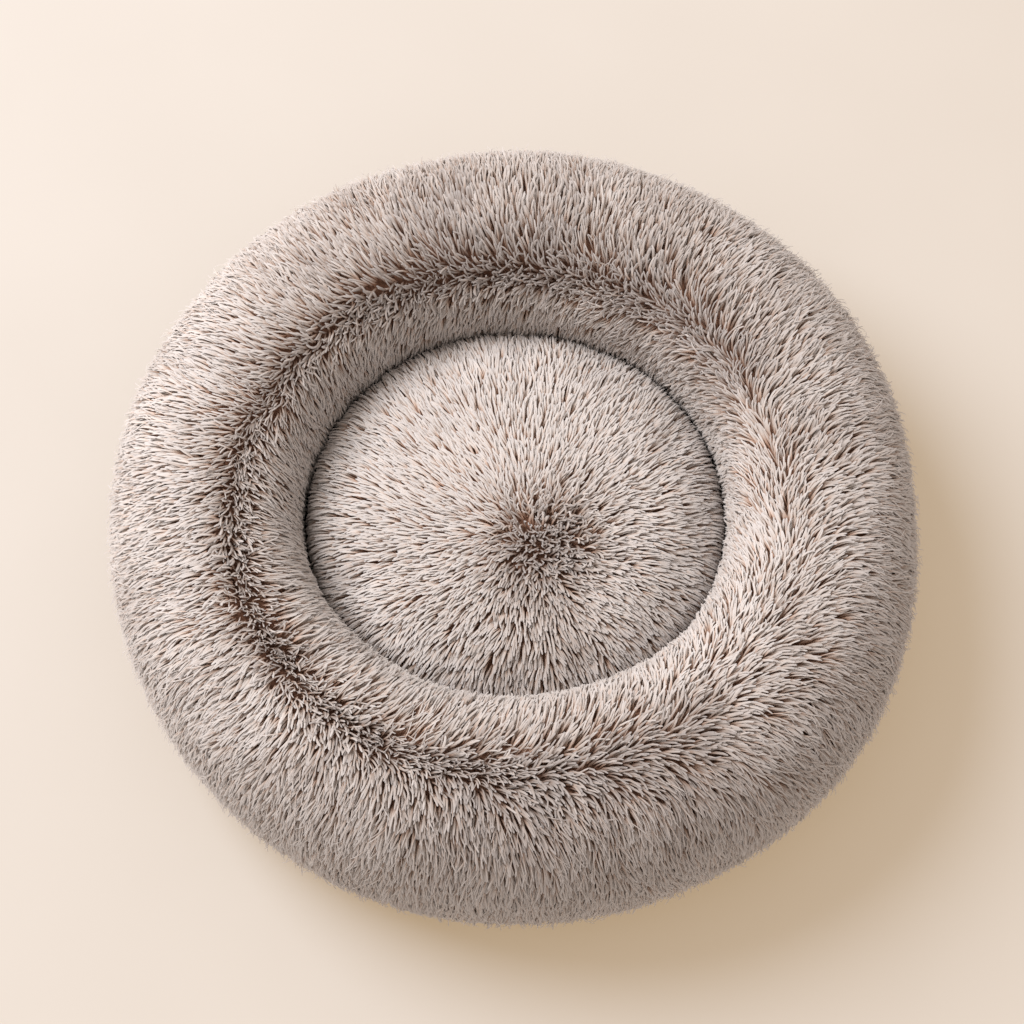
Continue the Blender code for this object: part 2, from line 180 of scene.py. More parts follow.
def hump(angle, centre, width):
    """1 at the centre angle, falling off over the width, all in degrees."""
    return np.exp(-((degrees_apart(angle, centre) / width) ** 2))


def smooth_step(value, low, high):
    share = np.clip((value - low) / (high - low), 0.0, 1.0)
    return share * share * (3.0 - 2.0 * share)


def unit(vectors):
    length = np.linalg.norm(vectors, axis=-1, keepdims=True)
    return vectors / np.maximum(length, 1e-12)


def signed_power(value, power):
    return np.sign(value) * np.abs(value) ** power


def around_z(radius, turn, height):
    """Points from a radius, a turn about Z and a height."""
    x, y = radius * np.cos(turn), radius * np.sin(turn)
    return np.stack(np.broadcast_arrays(x, y, height), -1)


def band(low, high, around):
    """Quads between two rings of points, numbered from low and from high."""
    columns = np.arange(around)
    following = (columns + 1) % around
    return np.stack([low + columns, low + following, high + following, high + columns], 1)


def grid_faces(around, rows):
    """Quads of a closed grid whose points are numbered around first, then along the rows."""
    return np.concatenate([band(r * around, (r + 1) * around, around) for r in range(rows - 1)])


def repeated(corner_lists, points_each, count):
    """Faces of a number of copies of one shape."""
    base = (np.arange(count) * points_each)[:, None, None]
    return [(faces[None] + base).reshape(-1, faces.shape[1]) for faces in corner_lists]


def link(name, data, material=None):
    item = bpy.data.objects.new(name, data)
    bpy.context.scene.collection.objects.link(item)
    if material is not None:
        data.materials.append(material)
    return item


def finish(piece, body, slot, *replaced):
    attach(piece, body)
    if replaced:
        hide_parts(*replaced)
    return piece


def mesh_of(name, points, corner_lists, smooth=True):
    """A mesh from points and arrays of faces; each array holds faces of one number of corners."""
    mesh = bpy.data.meshes.new(name)
    points = np.asarray(points, np.float32).reshape(-1, 3)
    loops = np.concatenate([np.asarray(c).ravel() for c in corner_lists]).astype(np.int32)
    counts = np.concatenate([np.full(len(c), np.asarray(c).shape[1]) for c in corner_lists])
    starts = np.concatenate([[0], np.cumsum(counts)[:-1]]).astype(np.int32)
    mesh.vertices.add(len(points))
    mesh.vertices.foreach_set("co", points.ravel())
    mesh.loops.add(len(loops))
    mesh.loops.foreach_set("vertex_index", loops)
    mesh.polygons.add(len(starts))
    mesh.polygons.foreach_set("loop_start", starts)
    mesh.polygons.foreach_set("use_smooth", np.full(len(starts), smooth))
    mesh.update(calc_edges=True)
    mesh.validate()
    return mesh


def closed_piece(name, points, corner_lists, material, smooth=True):
    """A linked closed mesh whose faces all look outwards."""
    mesh = mesh_of(name, points, corner_lists, smooth)
    build = bmesh.new()
    build.from_mesh(mesh)
    bmesh.ops.recalc_face_normals(build, faces=list(build.faces))
    build.to_mesh(mesh)
    build.free()
    return link(name, mesh, material)


# ---- materials


def srgb(*screen_values):
    """Linear colour of 0-255 screen values."""
    shares = [value / 255.0 for value in screen_values]
    return tuple(s / 12.92 if s <= 0.04045 else ((s + 0.055) / 1.055) ** 2.4 for s in shares)


def fill(node, values):
    for name, value in values.items():
        node.inputs[name].default_value = value


class Paint:
    """A material and short ways to add nodes to it."""

    def __init__(self, name, roughness, specular, metallic=0.0):
        self.material = bpy.data.materials.new(name)
        self.material.use_nodes = True
        self.tree = self.material.node_tree
        self.shader = self.tree.nodes["Principled BSDF"]
        values = {"Roughness": roughness, "Metallic": metallic, "Specular IOR Level": specular}
        fill(self.shader, values)

    def node(self, kind, **values):
        node = self.tree.nodes.new(kind)
        for key, value in values.items():
            setattr(node, key, value)
        return node

    def join(self, source, target):
        self.tree.links.new(source, target)

    def maths(self, operation, *values):
        node = self.node("ShaderNodeMath", operation=operation)
        for socket, value in zip(node.inputs, values):
            if isinstance(value, float):
                socket.default_value = value
            else:
                self.join(value, socket)
        return node.outputs[0]

    def ramp(self, source, stops):
        node = self.node("ShaderNodeValToRGB")
        elements = node.color_ramp.elements
        while len(elements) < len(stops):
            elements.new(0.5)
        for element, (place, colour) in zip(elements, stops):
            element.position = place
            element.color = (*colour, 1.0)
        self.join(source, node.inputs[0])
        return node.outputs[0]

    def textured(self, kind, values, **settings):
        """The Fac of a texture in the object's own coordinates."""
        node = self.node(kind, **settings)
        fill(node, values)
        self.join(self.node("ShaderNodeTexCoord").outputs["Object"], node.inputs["Vector"])
        return node.outputs["Fac"]

    def noise(self, scale, detail):
        return self.textured("ShaderNodeTexNoise", {"Scale": scale, "Detail": detail})

    def bump(self, height, strength, distance):
        node = self.node("ShaderNodeBump")
        fill(node, {"Strength": strength, "Distance": distance})
        self.join(height, node.inputs["Height"])
        self.join(node.outputs["Normal"], self.shader.inputs["Normal"])

    def colour(self, socket):
        self.join(socket, self.shader.inputs["Base Color"])
        return self.material


def fur_material():
    """Brown roots and pale tips. U holds the strand's tone, random in part and in part painted
    shade and painted light, and V the place along it.
    """
    paint = Paint("shag_pile", 0.62, 0.16)
    sheen = {"Sheen Weight": 0.26, "Sheen Roughness": 0.45, "Sheen Tint": (1.0, 0.94, 0.90, 1.0)}
    fill(paint.shader, sheen)
    uv = paint.node("ShaderNodeUVMap", uv_map="OFBake")
    split = paint.node("ShaderNodeSeparateXYZ")
    paint.join(uv.outputs["UV"], split.inputs[0])
    along = split.outputs["Y"]
    root_to_tip = [
        (0.00, srgb(146, 108, 88)),
        (0.26, srgb(158, 129, 113)),
        (0.46, srgb(166, 149, 140)),
        (0.64, srgb(170, 161, 157)),
        (1.00, srgb(170, 165, 165)),
    ]
    dark_to_light = [
        (0.00, (0.15, 0.105, 0.085)),
        (0.30, (0.50, 0.43, 0.38)),
        (0.60, (0.86, 0.84, 0.825)),
        (0.86, (1.0, 1.0, 1.0)),
        (1.00, (1.16, 1.14, 1.12)),
    ]
    mix = paint.node("ShaderNodeMix", data_type="RGBA", blend_type="MULTIPLY")
    # A strand's tone, with the painted shade in it, tells less at its tip than at its root.
    strength = paint.maths("SUBTRACT", 1.0, paint.maths("MULTIPLY", along, 0.60))
    paint.join(strength, mix.inputs["Factor"])
    paint.join(paint.ramp(along, root_to_tip), mix.inputs["A"])
    paint.join(paint.ramp(split.outputs["X"], dark_to_light), mix.inputs["B"])
    return paint.colour(mix.outputs["Result"])


def weave_material(name, dark, light, pitch, roughness, bump=0.35):
    """A plain weave of crossed threads, with slight cloudiness. Colours are screen values."""
    paint = Paint(name, roughness, 0.25)
    wave = {"Scale": 0.314 / pitch, "Distortion": 0.6, "Detail": 1.0}
    bands = [
        paint.textured("ShaderNodeTexWave", wave, wave_type="BANDS", bands_direction=way)
        for way in ("X", "Y")
    ]
    threads = paint.maths("MAXIMUM", *bands)
    cloud = paint.maths("MULTIPLY", paint.noise(45.0, 3.0), 0.3)
    mixed = paint.maths("ADD", paint.maths("MULTIPLY", threads, 0.7), cloud)
    paint.bump(threads, bump, pitch * 0.4)
    return paint.colour(paint.ramp(mixed, [(0.15, srgb(*dark)), (0.85, srgb(*light))]))


def speckled_material(
    name, dark, light, scale, roughness, specular, detail=2.0, spread=0.2, metallic=0.0, bump=None
):
    """Noise from dark to light, which are screen values, or dark is a share of the light."""
    paint = Paint(name, roughness, specular, metallic)
    grain = paint.noise(scale, detail)
    if bump:
        paint.bump(grain, *bump)
    light = srgb(*light)
    dark = tuple(dark * c for c in light) if isinstance(dark, float) else srgb(*dark)
    return paint.colour(paint.ramp(grain, [(0.5 - spread, dark), (0.5 + spread, light)]))


def felt_material(name, dark, light, scale):
    """Fibres with no weave: filling, non-woven bags, cloth backing."""
    return speckled_material(name, dark, light, scale, 0.95, 0.15, 6.0, bump=(0.5, 0.001))


# ---- sections and skins


def rim_section(angle):
    """Radius and height of the cloth: 0 is outwards, 90 the crest, 180 inwards."""
    turn = np.radians(angle)
    across, up = np.cos(turn), np.sin(turn)
    top = np.where(across >= 0.0, RIM_OUTER_TOP_ROUNDNESS, RIM_INNER_TOP_ROUNDNESS)
    power = 2.0 / np.where(up >= 0.0, top, RIM_BOTTOM_ROUNDNESS)
    reach_across = np.where(across >= 0.0, RIM_REACH_OUT, RIM_REACH_IN) - RIM_PILE_DEPTH
    above, below = RIM_REACH_UP - RIM_PILE_DEPTH, RIM_MIDDLE_Z - RIM_SKIN_BOTTOM_Z
    reach_height = np.where(up >= 0.0, above, below)
    radius = RIM_CREST_RADIUS + reach_across * signed_power(across, power)
    return radius, RIM_MIDDLE_Z + reach_height * signed_power(up, power)


def cushion_section(angle):
    turn = np.radians(angle)
    across, up = np.cos(turn), np.sin(turn)
    power = 2.0 / np.where(up >= 0.0, CUSHION_TOP_ROUNDNESS, CUSHION_BOTTOM_ROUNDNESS)
    above = CUSHION_TOP_Z - CUSHION_MIDDLE_Z - CUSHION_PILE_TOP
    reach_height = np.where(up >= 0.0, above, CUSHION_MIDDLE_Z - CUSHION_SKIN_BOTTOM_Z)
    reach_across = CUSHION_RADIUS - CUSHION_PILE_SIDE
    radius = reach_across * np.maximum(signed_power(across, power), 0.0)
    return radius, CUSHION_MIDDLE_Z + reach_height * signed_power(up, power)


def even_section(section, first, last, rows):
    """Section angles between two limits, spaced evenly along the section's length."""
    # A squarish section moves fast near these angles, so it is sampled more closely there.
    close = np.geomspace(1e-11, 1.0, 260)
    corners = [side + way * close for side in (0.0, 90.0, 180.0) for way in (-1.0, 1.0)]
    angles = np.concatenate([np.linspace(first, last, 4000), *corners])
    angles = np.unique(np.clip(angles, min(first, last), max(first, last)))
    angles = angles if first < last else angles[::-1]
    radius, height = section(angles)
    steps = np.hypot(np.diff(radius), np.diff(height))
    along = np.concatenate([[0.0], np.cumsum(steps)])
    return np.interp(np.linspace(0.0, along[-1], rows), along, angles), along[-1]


class Skin:
    """A cloth surface of revolution as a grid of points, which a simulation may have moved.

    A place on it is a turn about Z and a length along its section.
    """

    def __init__(self, points, angles, length):
        self.points, self.angles, self.length = points, angles, length
        self.rows, self.around = points.shape[:2]
        self.refresh()

    def refresh(self):
        around = np.roll(self.points, -1, 1) - np.roll(self.points, 1, 1)
        self.normals = unit(np.cross(around, np.gradient(self.points, axis=0)))

    def sink(self, depth):
        self.points = self.points - self.normals * depth[:, :, None]

    def sample(self, table, turn, place):
        column = (turn / (2.0 * np.pi) * self.around) % self.around
        row = np.clip(place / self.length * (self.rows - 1), 0.0, self.rows - 1.0001)
        i, j = column.astype(int), row.astype(int)
        u, v = (column - i)[:, None], (row - j)[:, None]
        i, next_i = i % self.around, (i + 1) % self.around
        low = table[j, i] * (1.0 - u) + table[j, next_i] * u
        high = table[j + 1, i] * (1.0 - u) + table[j + 1, next_i] * u
        return low * (1.0 - v) + high * v

    def at(self, turn, place):
        """Points and unit normals."""
        return self.sample(self.points, turn, place), unit(self.sample(self.normals, turn, place))


def ease_cloth(name, points, faces, pinned_rows, cap):
    """The points after a short cloth simulation with air pressure inside and no gravity,
    moved by the cap at most."""
    mesh = mesh_of(name, points, [faces])
    item = link(name, mesh)
    around = points.shape[1]
    pinned = np.array(pinned_rows)[:, None] * around + np.arange(around)
    item.vertex_groups.new(name="pinned").add(pinned.ravel().tolist(), 1.0, "REPLACE")
    cloth = item.modifiers.new("cloth", "CLOTH")
    for key, value in CLOTH_SETTINGS.items():
        setattr(cloth.settings, key, value)
    cloth.settings.effector_weights.gravity = 0.0
    cloth.collision_settings.use_collision = False
    scene = bpy.context.scene
    for frame_number in range(1, CLOTH_FRAMES + 1):
        scene.frame_set(frame_number)
    evaluated = item.evaluated_get(bpy.context.evaluated_depsgraph_get())
    moved = np.zeros(len(mesh.vertices) * 3, np.float32)
    evaluated.data.vertices.foreach_get("co", moved)
    shift = moved.reshape(points.shape).astype(float) - points
    scene.frame_set(1)
    bpy.data.objects.remove(item, do_unlink=True)
    bpy.data.meshes.remove(mesh)
    length = np.linalg.norm(shift, axis=-1, keepdims=True)
    return points + shift * np.minimum(1.0, cap / np.maximum(length, 1e-9))


def slow_wave(turn, waves, seed):
    """A smooth random value round the bed, of about -1 to 1."""
    source = np.random.default_rng(seed)
    total = np.zeros_like(turn)
    for count in waves:
        total += source.normal() * np.cos(count * turn + source.uniform(0.0, 2.0 * np.pi))
    return total / math.sqrt(len(waves))


def patches(points, size, seed):
    """A smooth random value of about -1 to 1 with patches of the given size."""
    source = np.random.default_rng(seed)
    total = np.zeros(len(points))
    waves = 16
    for _ in range(waves):
        direction = unit(source.normal(size=3))
        wavelength = 2.0 * size * source.uniform(0.6, 1.7)
        total += np.cos(points @ direction * (2.0 * np.pi / wavelength) + source.uniform(0.0, 6.3))
    return total * math.sqrt(2.0 / waves)


def parting_row(angles):
    return int(np.argmin(np.abs(angles - PARTING_ANGLE)))


def build_rim_skin():
    angles, length = even_section(rim_section, OUTER_SEAM_ANGLE, INNER_SEAM_ANGLE, RIM_ROWS)
    radius, height = rim_section(angles)
    turn = np.arange(RIM_AROUND) * 2.0 * np.pi / RIM_AROUND
    degrees = np.degrees(turn)
    # The stuffing leans a little over the well at the front and the back, and is uneven.
    inner_top = smooth_step(angles, 95.0, 140.0) * (1.0 - smooth_step(angles, 165.0, 205.0))
    lean = 0.0135 * hump(degrees, 270.0, 62.0) + 0.0085 * hump(degrees, 90.0, 52.0)
    lean = lean + 0.0012 * slow_wave(turn, (3, 5, 7), 11)
    crest = np.sin(np.radians(np.clip(angles, 0.0, 180.0))) ** 2
    sway = 0.0010 * slow_wave(turn, (2, 4, 7), 5)
    swell = 0.0009 * slow_wave(turn, (3, 5, 9, 13), 8)
    outer_side = smooth_step(angles, 80.0, 30.0) * smooth_step(angles, -52.0, -12.0)
    slump = 0.0042 * hump(degrees, 320.0, 20.0) - 0.0048 * hump(degrees, 0.0, 16.0)
    radii = radius[:, None] - inner_top[:, None] * lean + crest[:, None] * swell
    radii = radii + outer_side[:, None] * slump
    points = around_z(radii, turn, height[:, None] + crest[:, None] * sway)
    pinned_rows = [0, 1, RIM_ROWS - 2, RIM_ROWS - 1, parting_row(angles)]
    faces = grid_faces(RIM_AROUND, RIM_ROWS)
    skin = Skin(ease_cloth("rim cloth", points, faces, pinned_rows, 0.002), angles, length)
    _, from_parting = rim_flow(degrees[None, :], rounded_roll(angles)[:, None])
    skin.sink(TOUSLED_DEPTH * rim_mess(degrees[None, :], from_parting))
    skin.refresh()
    return skin


def build_cushion_skin():
    angles, length = even_section(cushion_section, 90.0, CUSHION_SEAM_ANGLE, CUSHION_ROWS)
    radius, height = cushion_section(angles)
    radius[0] = 0.0002
    turn = np.arange(CUSHION_AROUND) * 2.0 * np.pi / CUSHION_AROUND
    crown = CUSHION_CROWN * (1.0 - smooth_step(radius, 0.0, 0.150))
    points = around_z(radius[:, None], turn, (height - 0.0010 + crown)[:, None])
    pinned_rows = [0, CUSHION_ROWS - 2, CUSHION_ROWS - 1]
    faces = grid_faces(CUSHION_AROUND, CUSHION_ROWS)[:, ::-1]
    skin = Skin(ease_cloth("cushion cloth", points, faces, pinned_rows, 0.003), angles, length)
    skin.normals = -skin.normals
    skin.sink(TOUSLED_DEPTH * cushion_mess(skin.points[..., 0], skin.points[..., 1]))
    return skin


def skin_piece(name, skin, first_row, last_row, material, closed_top=False):
    """The cloth between two rows, as a closed shell. With a closed top, the first row is the
    middle of the top, and the cloth goes straight across it."""
    outer = skin.points[first_row : last_row + 1]
    inner = outer - skin.normals[first_row : last_row + 1] * COVER_THICKNESS
    rows, around = outer.shape[:2]
    count, last = rows * around, (rows - 1) * around
    faces = grid_faces(around, rows)
    lists = [faces, faces[:, ::-1] + count]
    end_edge = band(last, count + last, around)[:, ::-1]
    if closed_top:
        columns = np.arange(around)[None, :]
        lists += [end_edge, columns[:, ::-1], columns + count]
        lists = [corners[:, ::-1] for corners in lists]
    else:
        lists += [band(0, count, around), end_edge]
    return closed_piece(name, np.concatenate([outer, inner]), lists, material)


# ---- pile


def ring_places(skin, spacing, first, last, thinning=None):
    """Jittered places over a skin, one for each square of the given spacing."""
    turns, places = [], []
    rows = max(2, int(round((last - first) / spacing)))
    for row in range(rows):
        place = first + (row + 0.5) * (last - first) / rows
        sample, _ = skin.at(np.zeros(1), np.array([place]))
        radius = math.hypot(sample[0, 0], sample[0, 1])
        count = max(3, int(round(2.0 * math.pi * radius / spacing)))
        offsets = RANDOM.uniform(0.0, 1.0) + np.arange(count) + RANDOM.uniform(-0.48, 0.48, count)
        turns.append(offsets * 2.0 * math.pi / count)
        places.append(place + RANDOM.uniform(-0.5, 0.5, count) * spacing)
    turns, places = np.concatenate(turns), np.concatenate(places)
    if thinning is not None:
        keep = RANDOM.uniform(0.0, 1.0, len(turns)) < thinning(turns, places)
        turns, places = turns[keep], places[keep]
    return turns, np.clip(places, first, last)


def clump(strands, guides, strength):
    """Draws each strand towards the nearest guide, more so towards the tip."""
    tree = KDTree(len(guides))
    for index, root in enumerate(guides[:, 0]):
        tree.insert(root, index)
    tree.balance()
    nearest = np.array([tree.find(root)[1] for root in strands[:, 0]])
    pull = strength[:, None] * STRAND_SHARE**CLUMP_POWER
    return strands + (guides[nearest] - strands) * pull[:, :, None]


def draw_habits(mess, lift_range, habits, steadiness):
    """Random shares of length and lift, then stray, curl, twist and speckle, in this order."""
    n = len(mess)
    length, lift = RANDOM.uniform(*LENGTH_RANGE, n), RANDOM.uniform(*lift_range, n)
    stray, curl, twist = (
        RANDOM.normal(0.0, 1.0, (n, size)) * (calm + more * mess)[:, None] * steadiness
        for size, (calm, more) in zip((1, 1, 3), habits)
    )
    return length, lift, stray[:, 0], curl[:, 0], twist, RANDOM.normal(0.0, 1.0, n)


def strand_meshes(prefix, lines, normals, radius, tone, material, body, turn):
    """Pieces of closed, tapering, three-sided strands, each a wedge of the ring."""
    count, steps = lines.shape[:2]
    order = np.argsort(np.degrees(turn) % 360.0, kind="stable")
    chunks = np.array_split(order, max(1, math.ceil(count / STRANDS_PER_PIECE)))
    # Corners, faces and UVs of one strand. The last point is its tip.
    corners = np.radians([90.0, 210.0, 330.0])[:, None]
    sides = np.arange(STRAND_SIDES)
    last = (steps - 2) * STRAND_SIDES
    points_each = last + STRAND_SIDES + 1
    quads = grid_faces(STRAND_SIDES, steps - 1)[:, [0, 3, 2, 1]]
    to_tip = np.full(STRAND_SIDES, points_each - 1)
    tips = np.stack([last + sides, to_tip, last + (sides + 1) % STRAND_SIDES], 1)
    triangles = np.concatenate([tips, [sides]])
    heights = 0.01 + 0.98 * STRAND_SHARE
    point_v = np.concatenate([np.repeat(heights[:-1], STRAND_SIDES), heights[-1:]])
    for number, chosen in enumerate(chunks, 1):
        line, normal = lines[chosen], normals[chosen]
        n = len(chosen)
        tangent = unit(np.gradient(line, STRAND_SHARE, axis=1))
        side = unit(np.cross(tangent, normal))
        up = np.cross(side, tangent)
        width = (radius[chosen][:, None] * STRAND_TAPER[None, :])[:, :-1, None, None]
        ring = (
            line[:, :-1, None]
            + side[:, :-1, None] * (np.cos(corners) * width)
            + up[:, :-1, None] * (np.sin(corners) * (width * STRAND_FLATNESS))
        )
        points = np.concatenate([ring.reshape(n, -1, 3), line[:, -1:]], 1)
        name = f"{prefix}_{number:02d}"
        mesh = mesh_of(name, points, repeated([quads, triangles], points_each, n))
        # The tone across, in steps, and the place along the strand.
        cell = np.clip(np.floor(tone[chosen] * SHADE_CELLS), 0, SHADE_CELLS - 1)[:, None]
        across = (cell + np.array([0.3, 0.5, 0.7])) / SHADE_CELLS
        point_u = np.concatenate([np.tile(across, (1, steps - 1)), (cell + 0.5) / SHADE_CELLS], 1)
        uv = np.stack([point_u, np.tile(point_v, (n, 1))], -1).reshape(-1, 2)
        layer = mesh.uv_layers.new(name="OFBake")
        loops = np.zeros(len(mesh.loops), np.int32)
        mesh.loops.foreach_get("vertex_index", loops)
        layer.data.foreach_set("uv", uv[loops].astype(np.float32).ravel())
        # Soft fibres scatter light, so their shading follows the cloth more than their own sides.
        own_way = unit(ring - line[:, :-1, None]).reshape(n, -1, 3)
        own_way = np.concatenate([own_way, tangent[:, -1:]], 1)
        cloth_way = np.repeat(normal[:, :-1], STRAND_SIDES, 1)
        cloth_way = np.concatenate([cloth_way, normal[:, -1:]], 1)
        shading = unit(own_way * (1.0 - FIBRE_SOFTNESS) + cloth_way * FIBRE_SOFTNESS)
        mesh.normals_split_custom_set_from_vertices(shading.reshape(-1, 3))
        finish(link(name, mesh, material), body, "plush")


# Flow of the rim's pile. A roll is a section angle, as if the section were as round inside as it
# is outside. The parting wanders round the ring, and the strands turn at their own rate on each
# side of it.


def rounded_roll(angle):
    inner_top = (angle > 90.0) & (angle < 180.0)
    power = RIM_OUTER_TOP_ROUNDNESS / RIM_INNER_TOP_ROUNDNESS
    across = np.abs(np.cos(np.radians(angle))) ** power
    rounded = np.degrees(np.arccos(-np.clip(across, 0.0, 1.0)))
    return np.where(inner_top, rounded, angle)


def rim_roll(skin, place):
    row = np.clip(place / skin.length, 0.0, 1.0) * (skin.rows - 1)
    return rounded_roll(np.interp(row, np.arange(skin.rows), skin.angles))


def rim_flow(degrees, roll):
    """Lay of the pile: 0 is outwards and down, 90 round the ring, 180 into the well."""
    turn = np.radians(degrees)
    parting = 118.0 + 17.5 * np.sin(turn) + 3.5 * np.cos(turn)
    outside = 25.0 + 22.0 * hump(degrees, 335.0, 30.0) - 11.0 * hump(degrees, 210.0, 25.0)
    inside = 36.0 + 32.0 * hump(degrees, 330.0, 40.0) - 15.0 * hump(degrees, 215.0, 28.0)
    from_parting = roll - parting
    width = np.where(from_parting < 0.0, outside, inside)
    return 90.0 * (1.0 + np.tanh(from_parting / width)), from_parting


def rim_mess(degrees, from_parting):
    """How tousled the pile is, from 0 to 1."""
    along = smooth_step(np.abs(degrees_apart(degrees, 337.0)), 36.0, 72.0)
    peaks = 0.62 + 0.38 * np.maximum(hump(degrees, 82.0, 34.0), hump(degrees, 217.0, 34.0))
    wide = hump(degrees, 78.0, 36.0)
    width = np.where(from_parting < 0.0, 10.0 + 9.0 * wide, 11.0 + 4.0 * wide)
    return along * peaks * np.exp(-((from_parting / width) ** 2))


def open_pile(degrees, roll, from_parting):
    """How far the pile stands open to its brown roots, from 0 to 1: on the outer half of the top,
    at the back and at the front. There the strands' tone is also painted darker, painted shade in
    the open gaps."""
    back = hump(degrees, 90.0, 58.0) * smooth_step(roll, 42.0, 96.0)
    front = 0.86 * hump(degrees, 282.0, 50.0) * smooth_step(roll, 14.0, 80.0)
    return (back + front) * smooth_step(from_parting, 14.0, -8.0)


def grow_rim(skin, turn, place, length, lift, stray, curl, twist):
    """Centre lines and normals of the rim's strands."""
    lines, normals = [], []
    for step, share in enumerate(STRAND_SHARE):
        if step:
            advance = length * (STRAND_FORWARD[step] - STRAND_FORWARD[step - 1]) / 2.0
            for _ in range(2):
                inside = np.clip(place, 0.0, skin.length)
                spot, _ = skin.at(turn, inside)
                roll = rim_roll(skin, inside)
                flow, _ = rim_flow(np.degrees(turn), roll)
                heading = np.radians(flow + stray + curl * share)
                turn = turn + advance * np.sin(heading) / np.hypot(spot[:, 0], spot[:, 1])
                place = place - advance * np.cos(heading)
        spot, normal = skin.at(turn, np.clip(place, 0.0, skin.length))
        # Past the cloth's outer edge the strands hang.
        hang = around_z(1.0, turn, 0.0) * 0.15 + np.array([0.0, 0.0, -1.0])
        line = spot + normal * (lift * STRAND_RISE[step])[:, None]
        line = line + hang * np.maximum(-place, 0.0)[:, None]
        lines.append(line + twist * share**2)
        normals.append(normal)
    return np.stack(lines, 1), np.stack(normals, 1)


def settle_on_floor(lines):
    """Strands that would go through the floor spread outwards over it, or over the label."""
    lowest = RANDOM.uniform(*FLOOR_GAP_RANGE, len(lines))
    over_label = (np.abs(lines[:, 0, 0]) < LABEL_HALF_WIDTH) & (lines[:, 0, 1] > 0.0)
    lowest = (lowest + LABEL_CLEARANCE * over_label)[:, None]
    under = np.maximum(lowest - lines[..., 2], 0.0)
    outwards = unit(lines * np.array([1.0, 1.0, 0.0]))
    lines = lines + outwards * (under * 0.45)[..., None]
    lines[..., 2] = np.maximum(lines[..., 2], lowest)
    return lines


def build_rim_fur(skin, material):
    def lay(turn, place):
        degrees = np.degrees(turn)
        roll = rim_roll(skin, place)
        _, from_parting = rim_flow(degrees, roll)
        mess, opened = rim_mess(degrees, from_parting), open_pile(degrees, roll, from_parting)
        return degrees, roll, from_parting, mess, opened

    def thinning(turn, place):
        _, roll, _, mess, opened = lay(turn, place)
        return np.where(roll > 205.0, 0.34, 0.70 + 0.24 * mess - 0.10 * opened)

    def facts(turn, place, steadiness):
        """Shapes of strands with these roots, their tone and how tousled they are."""
        degrees, roll, from_parting, mess, opened = lay(turn, place)
        spot, _ = skin.at(turn, place)
        length, lift, stray, curl, twist, speckle = draw_habits(
            mess, RIM_LIFT_RANGE, RIM_HABITS, steadiness
        )
        wall = smooth_step(roll, 128.0, 165.0)
        low = smooth_step(roll, 25.0, -45.0)
        length = RIM_PILE_LENGTH * length * (1.0 - 0.34 * mess) * (1.0 - 0.18 * wall)
        lift = RIM_PILE_DEPTH * lift * (1.0 + 0.26 * mess)
        lift *= 1.0 - (0.06 + 0.14 * hump(degrees, 180.0, 75.0)) * wall
        lift *= (1.0 + 0.14 * opened) * (1.0 - 0.25 * low)
        stray += 7.0 * patches(spot, 0.030, 21) + 5.0 * patches(spot, 0.012, 22)
        # Where the photograph's pile is darker and paler than the rest.
        near_parting = np.exp(-((from_parting / 26.0) ** 2))
        shoulder = hump(degrees, 118.0, 26.0) * smooth_step(roll, 125.0, 95.0)
        outline = smooth_step(roll, 30.0 + 14.0 * np.sin(turn), -4.0 + 14.0 * np.sin(turn))
        tone = 0.74 + (0.13 + 0.16 * mess + 0.07 * wall) * speckle
        tone += 0.075 * patches(spot, 0.028, 23)
        # Painted shade: tousled and open pile get darker strands, most at the roots, as if shaded
        # deep in the gaps. The back shoulder is darker as well.
        tone -= (0.54 + 0.16 * hump(degrees, 80.0, 44.0)) * mess + 0.50 * opened + 0.16 * shoulder
        # Painted shade near the parting, at the right and at the front, where the pile is deep.
        dark = 0.60 * hump(degrees, 28.0, 26.0) + 0.28 * hump(degrees, 276.0, 32.0)
        tone -= dark * near_parting
        # Painted light on the far inner wall and painted shade on the inner wall at the right.
        tone += (0.20 * hump(degrees, 90.0, 60.0) - 0.10 * hump(degrees, 0.0, 50.0)) * wall
        # Painted rim light: strands low on the outer side, near the outline, are paler.
        return (length, lift, stray, curl, twist), tone + 0.16 * outline, mess

    end = skin.length - 0.001
    roots = ring_places(skin, GUIDE_SPACING, 0.001, end)
    shape, _, _ = facts(*roots, 1.1)
    guides, _ = grow_rim(skin, *roots, *shape)

    turn, place = ring_places(skin, STRAND_SPACING, 0.0005, end, thinning)
    shape, tone, mess = facts(turn, place, 1.0)
    lines, normals = grow_rim(skin, turn, place, *shape)
    wedge = hump(np.degrees(turn), 345.0, 55.0)
    strength = RANDOM.uniform(0.10, 0.62, len(turn)) * (0.80 + 0.35 * wedge)
    lines = settle_on_floor(clump(lines, guides, strength))
    radius = STRAND_RADIUS * RANDOM.uniform(*RADIUS_RANGE, len(turn))
    radius *= (1.0 + 0.10 * patches(lines[:, 0], 0.020, 24)) * (1.0 - 0.12 * mess)
    strand_meshes("rim_fur", lines, normals, radius, tone, material, "bed", turn)

    # Finer hairs stand out from the outer side, so that the outline is soft.
    turn, place = ring_places(skin, FUZZ_SPACING, 0.004, skin.length * FUZZ_REACH)
    (length, lift, *waywardness), tone, _ = facts(turn, place, 1.4)
    shape = length * 1.05, lift * 1.26, *waywardness
    lines, normals = grow_rim(skin, turn, place, *shape)
    lines = settle_on_floor(lines)
    radius = FUZZ_RADIUS * RANDOM.uniform(0.8, 1.2, len(turn))
    strand_meshes("rim_fuzz", lines, normals, radius, tone + 0.08, material, "bed", turn)


def cushion_mess(x, y):
    away = np.hypot(x - WHORL[0], (y - WHORL[1]) * 1.05)
    return np.exp(-((away / WHORL_RADIUS) ** 2))


